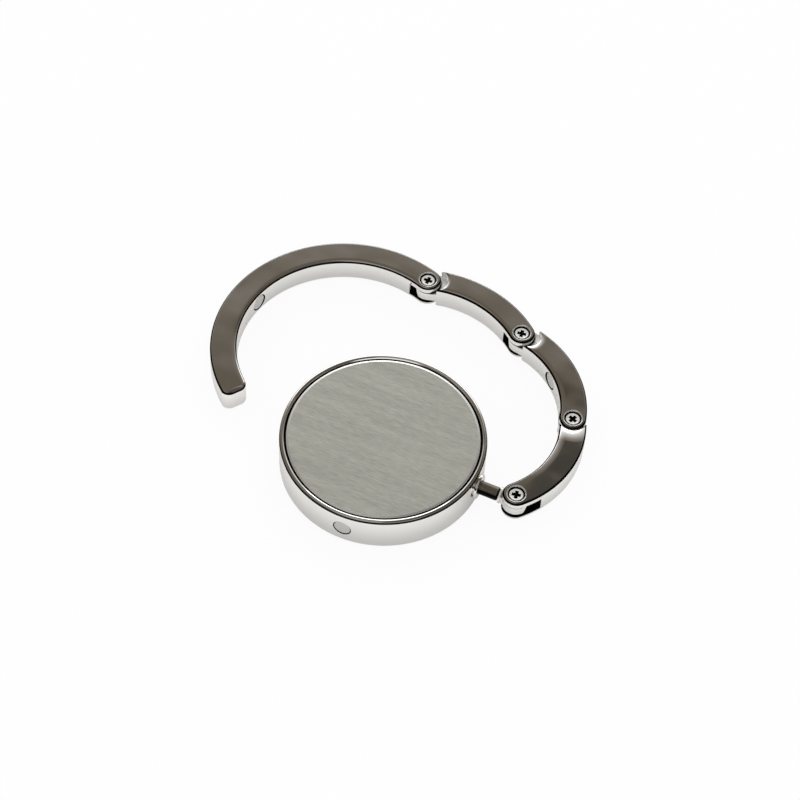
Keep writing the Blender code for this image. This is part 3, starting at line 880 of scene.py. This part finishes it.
class PURSEHOOK_OT_plate(bpy.types.Operator):
    """Brushed inlay plate with a bright chamfered edge; bare, with nothing printed on it"""
    bl_idname = "purse_hook.plate"
    bl_label = "Inlay plate"

    def execute(self, context):
        sizes = context.scene.purse_hook
        head = sizes.head
        radius = head.radius - head.rim_width
        top = head.height - head.plate_sink
        bottom = top - head.plate_thickness
        profile = [(0, top), (radius * 0.5, top), (radius - head.plate_edge, top),
                   (radius, top - head.plate_drop), (radius, bottom), (0, bottom)]
        plate = turned("inlay_plate", profile, head.steps)
        # The brush runs along X, so the map that gives the tangent has its first axis along Y
        layer = plate.data.uv_layers.new(name="across_brush")
        for loop in plate.data.loops:
            x, y, _ = plate.data.vertices[loop.vertex_index].co
            layer.data[loop.index].uv = (y / radius, x / radius)
        paint(plate, brushed_steel("brushed_steel", sizes.finish.brushed))
        paint_faces(plate, bright_steel("bright_chamfer", sizes.finish.steel, 0.2, 0.8),
                    lambda face: 0.5 < face.normal.z < 0.99)
        # Painted shade: the plate's upright edge in the groove is painted dark
        paint_faces(plate, dark_recess(), lambda face: abs(face.normal.z) < 0.5)
        even_normals(plate, sharp=10)
        dress(plate, "head", "top_plate")
        return {"FINISHED"}


class PURSEHOOK_OT_base(bpy.types.Operator):
    """Finishes of the base plate, rubber pad and adhesive tape"""
    bl_idname = "purse_hook.base"
    bl_label = "Base, pad and tape"

    def execute(self, context):
        finish = context.scene.purse_hook.finish
        dress_node("base_plate", bright_steel("stamped_steel", finish.steel, 0.35))
        dress_node("base_pad", moulded_rubber("moulded_rubber", finish.rubber))
        dress_node("plate_tape", moulded_plastic("adhesive_tape", finish.tape, 0.6))
        return {"FINISHED"}


class PURSEHOOK_OT_magnets(bpy.types.Operator):
    """Disc magnets in the head's wall, the second link and the hook arm"""
    bl_idname = "purse_hook.magnets"
    bl_label = "Magnets"

    def execute(self, context):
        sizes = context.scene.purse_hook
        magnet = sizes.magnet
        material = bright_steel("nickel_plated_magnet", sizes.finish.magnet, 0.2)
        profile = rod(magnet.radius, magnet.depth / 2, -magnet.depth / 2, magnet.edge)
        for name, (body, _) in MAGNETS.items():
            disc = turned(name + "_disc", profile, ROUND_STEPS, magnet_place(name))
            dress(paint(disc, material), body, name)
        return {"FINISHED"}


class PURSEHOOK_OT_stud(bpy.types.Operator):
    """Swivel stud with groove, collar and flat eye, and the flanged bush that it turns in"""
    bl_idname = "purse_hook.stud"
    bl_label = "Swivel stud and bush"

    def execute(self, context):
        sizes = context.scene.purse_hook
        head, stud, link = sizes.head, sizes.stud, sizes.link
        axis, edge = head.axis_height, stud.end_round
        along = pose((0, 0, axis), 0, pi / 2)
        face = head.radius + stud.fit_gap
        front = face + stud.flange_thickness
        back = face - stud.bush_length
        bore = stud.radius + stud.running_gap
        profile = [(bore, front)] + quarter((stud.flange_radius - edge, front - edge), edge, pi / 2)
        profile += [(stud.flange_radius, face), (stud.bush_radius, face), (stud.bush_radius, back),
                    (bore, back)]
        bush = turned("stud_flange", profile, STUD_STEPS, along, closed=True)
        chrome = polished_chrome("chrome_plated_stud", sizes.finish.chrome)
        even_normals(paint(bush, chrome))
        dress(bush, "head", "stud_bush")

        collar_front = stud.reach - link.half_width - stud.collar_gap
        collar_back = collar_front - stud.collar_width
        neck = collar_back - stud.groove_width
        profile = rod(stud.collar_radius, collar_front, collar_back, edge)[:-1]
        profile += [(stud.groove_radius, collar_back), (stud.groove_radius, neck)]
        profile += rod(stud.radius, neck, stud.tail, edge)[1:]
        # Painted shade: bright only along the top, from half a radius above the axis, and painted dark below
        shaded = polished_chrome("nickel_plated_shaft_with_painted_shade", sizes.finish.shaft, haze_level=0.5,
                                 shade=(axis + 0.5 * stud.radius, axis + 0.78 * stud.radius, 0.01, 1.0))
        shaft = paint(turned("stud_shaft", profile, STUD_STEPS, along), shaded)
        collar_start = collar_back + 0.1 * stud.collar_width
        paint_faces(shaft, bright_steel("turned_collar", sizes.finish.steel, 0.25, 0.5),
                    lambda face: face.center.x > collar_start)
        # Painted shade: the groove behind the collar is painted dark
        paint_faces(shaft, dark_recess(), lambda face: neck + NEAR < face.center.x < collar_start)
        side = stud.radius - edge
        half = link.tongue / 2
        root = collar_front - stud.collar_width / 2
        opening = asin(side / link.tongue_reach)
        outline = [(root, side)]
        outline += reversed(arc((stud.reach, 0), link.tongue_reach, -pi + opening, pi - opening, 72))
        outline.append((root, -side))
        eye = slab("stud_eye", outline, axis - half, axis + half)
        break_edges(eye, edge, segments=3, sharper_than=60)
        hole = drill("eye", plain_rod(link.bore, half + OVERRUN, -half - OVERRUN), HOLE_STEPS,
                     pose((stud.reach, 0, axis)))
        cut(shaft, paint(eye, chrome), operation="UNION")
        cut(shaft, hole)
        even_normals(shaft)
        dress(shaft, "swivel", "swivel_stud")
        return {"FINISHED"}


class PURSEHOOK_OT_links(bpy.types.Operator):
    """The three short links: round fork with a chamfered screw recess, curved body, hollow seat and tongue"""
    bl_idname = "purse_hook.links"
    bl_label = "Short links"

    def execute(self, context):
        sizes = context.scene.purse_hook
        link = sizes.link
        for name, (pitch, _, _) in LINKS.items():
            outline, half = link_plan(name)
            pivot = (pitch * MM, 0)
            first = name == "link_a"
            setback = link.first_setback if first else link.seat_setback
            seat_end = setback + link.seat_radius
            satin = hollow_seat("hollow_seat_" + name, sizes.finish.satin, next_pivot(name), seat_end,
                                link.half_width)
            # The wheel rounds the first link towards its far pivot, the others down to the rim of their seat
            hub = Vector(pivot) - setback * unit(half)
            end = (next_pivot(name), seat_end) if first else (on_table(name, hub), link.seat_radius)
            casting(name, outline, end, [*fork_cutters(name, -half),
                                         *tongue_cutters(name, pivot, half, setback, satin)])
        return {"FINISHED"}


class PURSEHOOK_OT_hook_arm(bpy.types.Operator):
    """Hook arm: the long curved link that carries the bag, with a fork at its pivot and a rounded tip"""
    bl_idname = "purse_hook.hook_arm"
    bl_label = "Hook arm"

    def execute(self, context):
        centre, radius = bend("hook_arm")
        turn = radians(HOOK_SWEEP) - pi / 2
        # The wheel rounds the arm's end towards a spot 10 mm beyond the tip
        past = 10 * MM
        beyond = Vector(centre) + radius * unit(turn) + past * unit(turn + pi / 2)
        # The bag's handle rides on the inner edge, which is buffed the most; there only the lower part of the
        # edge's rounding is painted dark, as painted reflection
        casting("hook_arm", hook_plan(), (on_table("hook_arm", beyond), past), fork_cutters("hook_arm", 0),
                buffed=on_table("hook_arm", centre))
        return {"FINISHED"}


class PURSEHOOK_OT_screws(bpy.types.Operator):
    """Pivot screws with a tapered cross recess, sunk in the upper ears"""
    bl_idname = "purse_hook.screws"
    bl_label = "Pivot screws"

    def execute(self, context):
        sizes = context.scene.purse_hook
        screw = sizes.screw
        edge = screw.edge
        _, _, link_top, _, bottom = heights()
        material = bright_steel("nickel_flashed_steel", sizes.finish.steel, 0.38, 0.35)
        top = link_top - screw.sink
        under = top - screw.head_height
        # The flat of the head is dished by a tenth of a millimetre, so that only its rim stands proud
        profile = [(0, top - screw.dish), (screw.head_radius - edge - screw.rim, top - screw.dish)]
        profile += quarter((screw.head_radius - edge, top - edge), edge, pi / 2)
        profile += [(screw.head_radius, under), (screw.shank, under)]
        profile += quarter((screw.shank - edge, bottom + edge), edge, 0, 3) + [(0, bottom)]
        a, b = screw.cross_length / 2, screw.cross_width / 2
        cross = [(a, -b), (a, b), (b, b), (b, a), (-b, a), (-b, b),
                 (-a, b), (-a, -b), (-b, -b), (-b, -a), (b, -a), (b, -b)]
        mouth = top + 0.05 * MM
        for name in CHAIN:
            place = link_place(name) @ pose(turn=screw.cross_turn)
            body = paint(turned(name + "_pivot_screw", profile, ROUND_STEPS, place), material)
            recess = slab("cut_cross", cross, top - screw.cross_depth, mouth, place, screw.cross_floor)
            # Painted shade: the cross recess is painted dark
            cut(body, paint(recess, dark_recess()))
            even_normals(body)
            dress(body, name, name + "_screw")
        return {"FINISHED"}


class PURSEHOOK_OT_hidden(bpy.types.Operator):
    """Finishes of the friction washers, spring washer and clip"""
    bl_idname = "purse_hook.hidden"
    bl_label = "Washers and clip"

    def execute(self, context):
        finish = context.scene.purse_hook.finish
        nylon = moulded_plastic("moulded_nylon", finish.nylon, 0.45)
        for name in CHAIN:
            dress_node(name + "_washer", nylon)
        spring = bright_steel("spring_steel", finish.steel, 0.3)
        dress_node("wave_washer", spring)
        dress_node("retaining_clip", spring)
        return {"FINISHED"}


class PURSEHOOK_OT_stage(bpy.types.Operator):
    """Pale floor, backdrop, one soft window and the photograph's camera"""
    bl_idname = "purse_hook.stage"
    bl_label = "Stage"

    def execute(self, context):
        look = context.scene.purse_hook.stage
        self.floor(look)
        self.backdrop(look)
        self.window(look)
        self.camera(look)
        context.scene.view_settings.view_transform = "Standard"
        return {"FINISHED"}

    def floor(self, look):
        """Pale matt floor, which the camera sees almost white, with a faint shadow of the object."""
        shape = bmesh.new()
        bmesh.ops.create_grid(shape, x_segments=8, y_segments=8, size=2.5)
        floor = new_object("floor", shape)
        # A hair below the rubber pad, so that the two faces don't coincide
        floor.location.z = -0.02 * MM
        material, tree = new_material("pale_floor")
        matt = add(tree, "BsdfDiffuse", {"Color": rgba(look.floor)})
        lit = add(tree, "Emission", {"Color": rgba(look.horizon), "Strength": 1.0})
        rays = add(tree, "LightPath")
        seen = add(tree, "Math", {0: rays.outputs["Is Camera Ray"], 1: SEEN_GLOW}, operation="MULTIPLY")
        mirrored = add(tree, "Math", {0: rays.outputs["Is Glossy Ray"],
                                      1: rays.outputs["Is Transmission Ray"]}, operation="MAXIMUM")
        share = add(tree, "Math", {0: mirrored, 1: MIRRORED_GLOW, 2: seen}, operation="MULTIPLY_ADD")
        mixed = add(tree, "MixShader", {0: share, 1: matt, 2: lit})
        add(tree, "OutputMaterial", {"Surface": mixed})
        paint(floor, material)

    def backdrop(self, look):
        """Bright round the horizon; a dim ceiling beyond the object, a dark room behind the camera."""
        world = bpy.data.worlds.new("studio")
        bpy.context.scene.world = world
        world.use_nodes = True
        tree = world.node_tree
        tree.nodes.clear()
        place = add(tree, "TexCoord").outputs["Generated"]
        height = add(tree, "SeparateXYZ", {"Vector": place}).outputs["Z"]
        ahead = add(tree, "VectorMath", {0: place, 1: (-sin(look.azimuth), cos(look.azimuth), 0)},
                    operation="DOT_PRODUCT")
        across = add(tree, "VectorMath", {0: place, 1: (cos(look.azimuth), sin(look.azimuth), 0)},
                     operation="DOT_PRODUCT")
        # Overhead the ceiling is dim; towards the horizon it brightens
        skies = []
        for stops in (NEAR_SKY, FAR_SKY):
            ramp = add(tree, "ValToRGB", {"Fac": height})
            elements = ramp.color_ramp.elements
            while len(elements) < len(stops):
                elements.new(1.0)
            for element, (position, tone) in zip(elements, stops):
                element.position = position
                element.color = rgba(self.sky_tone(look, tone))
            skies.append(ramp)
        side = add(tree, "MapRange", {"Value": ahead.outputs["Value"], "From Min": 0.05, "From Max": 0.45},
                   **SMOOTH)
        both = add(tree, "Mix", {0: side, 6: skies[0], 7: skies[1]}, data_type="RGBA")
        # The ceiling is dimmer on the right, above the first link's mirror image
        right = add(tree, "MapRange", {"Value": across.outputs["Value"], "From Min": 0.035, "From Max": 0.07,
                                       "To Max": 0.85}, **SMOOTH)
        high = add(tree, "MapRange", {"Value": height, "From Min": 0.785, "From Max": 0.815}, **SMOOTH)
        share = add(tree, "Math", {0: right, 1: high}, operation="MULTIPLY")
        above = add(tree, "Mix", {0: share, 6: both.outputs[2], 7: rgba(look.flank)}, data_type="RGBA")
        # Plain walls to the left and right give the outlines their brown edge
        outward = add(tree, "Math", {0: across.outputs["Value"]}, operation="ABSOLUTE")
        walls = add(tree, "MapRange", {"Value": outward, "From Min": 0.42, "From Max": 0.6}, **SMOOTH)
        studio = add(tree, "Mix", {0: walls, 6: above.outputs[2], 7: rgba(look.ceiling)},
                     data_type="RGBA")
        # Matt surfaces get plain soft light; the camera, metal and glass see the studio itself
        rays = add(tree, "LightPath")
        seen = rays.outputs["Is Camera Ray"]
        for kind in ("Is Glossy Ray", "Is Transmission Ray"):
            seen = add(tree, "Math", {0: seen, 1: rays.outputs[kind]}, operation="MAXIMUM")
        soft = [SOFT_LIGHT * part for part in look.horizon]
        colours = add(tree, "Mix", {0: seen, 6: rgba(soft), 7: studio.outputs[2]}, data_type="RGBA")
        sky = add(tree, "Background", {"Color": colours.outputs[2], "Strength": 1.0})
        add(tree, "OutputWorld", {"Surface": sky})

    def sky_tone(self, look, tone):
        """The colour of that name, or one between the ceiling's and the horizon's."""
        if isinstance(tone, str):
            return getattr(look, tone)
        return [a + (b - a) * tone for a, b in zip(look.ceiling, look.horizon)]

    def window(self, look):
        """One long soft window, beyond the object and aimed at it."""
        spot = Vector(look.window_spot)
        window = bpy.data.lights.new("window", "AREA")
        window.shape = "RECTANGLE"
        window.size = look.window_width
        window.size_y = look.window_height
        window.energy = look.window_power
        obj = bpy.data.objects.new("window", window)
        obj.matrix_world = Matrix.Translation(spot) @ (-spot).to_track_quat("-Z", "Y").to_matrix().to_4x4()
        bpy.context.scene.collection.objects.link(obj)

    def camera(self, look):
        """The photograph's camera."""
        back = Vector((sin(look.azimuth) * cos(look.elevation), -cos(look.azimuth) * cos(look.elevation),
                       sin(look.elevation)))
        right = (-back).cross(Vector((0, 0, 1))).normalized()
        up = right.cross(-back)
        side = cos(look.roll) * right + sin(look.roll) * up
        head_up = -sin(look.roll) * right + cos(look.roll) * up
        camera = bpy.data.cameras.new("photo_camera")
        camera.sensor_width = 36
        camera.lens = look.focal
        obj = bpy.data.objects.new("photo_camera", camera)
        matrix = Matrix((side, head_up, back)).transposed().to_4x4()
        matrix.translation = Vector(look.target) + look.distance * back
        obj.matrix_world = matrix
        bpy.context.scene.collection.objects.link(obj)
        bpy.context.scene.camera = obj


class PurseHookSettings(bpy.types.PropertyGroup):
    head: PointerProperty(type=HeadSizes)
    stud: PointerProperty(type=StudSizes)
    link: PointerProperty(type=LinkSizes)
    screw: PointerProperty(type=ScrewSizes)
    magnet: PointerProperty(type=MagnetSizes)
    finish: PointerProperty(type=Finishes)
    stage: PointerProperty(type=StageLook)


OPERATORS = (
    PURSEHOOK_OT_housing, PURSEHOOK_OT_plate, PURSEHOOK_OT_base, PURSEHOOK_OT_magnets, PURSEHOOK_OT_stud,
    PURSEHOOK_OT_links, PURSEHOOK_OT_hook_arm, PURSEHOOK_OT_screws, PURSEHOOK_OT_hidden, PURSEHOOK_OT_stage,
)


class PURSEHOOK_PT_sidebar(bpy.types.Panel):
    """Sizes and finishes, and a button for each step"""
    bl_idname = "PURSEHOOK_PT_sidebar"
    bl_label = "Purse hook"
    bl_space_type = "VIEW_3D"
    bl_region_type = "UI"
    bl_category = "Purse hook"

    def draw(self, context):
        for group in ("head", "stud", "link", "screw", "magnet", "finish", "stage"):
            box = self.layout.box()
            box.label(text=group.capitalize())
            owner = getattr(context.scene.purse_hook, group)
            for key in owner.bl_rna.properties.keys():
                if key not in ("rna_type", "name"):
                    box.prop(owner, key)
        column = self.layout.column(align=True)
        for operator in OPERATORS:
            column.operator(operator.bl_idname)


CLASSES = (HeadSizes, StudSizes, LinkSizes, ScrewSizes, MagnetSizes, Finishes, StageLook, PurseHookSettings,
           *OPERATORS, PURSEHOOK_PT_sidebar)


def register():
    """Adds the classes and the scene's settings."""
    for item in CLASSES:
        bpy.utils.register_class(item)
    bpy.types.Scene.purse_hook = PointerProperty(type=PurseHookSettings)


def unregister():
    """Takes them away again."""
    del bpy.types.Scene.purse_hook
    for item in reversed(CLASSES):
        bpy.utils.unregister_class(item)


def main():
    """Builds everything."""
    register()
    for operator in OPERATORS:
        family, name = operator.bl_idname.split(".")
        getattr(getattr(bpy.ops, family), name)()


if __name__ == "__main__":
    main()
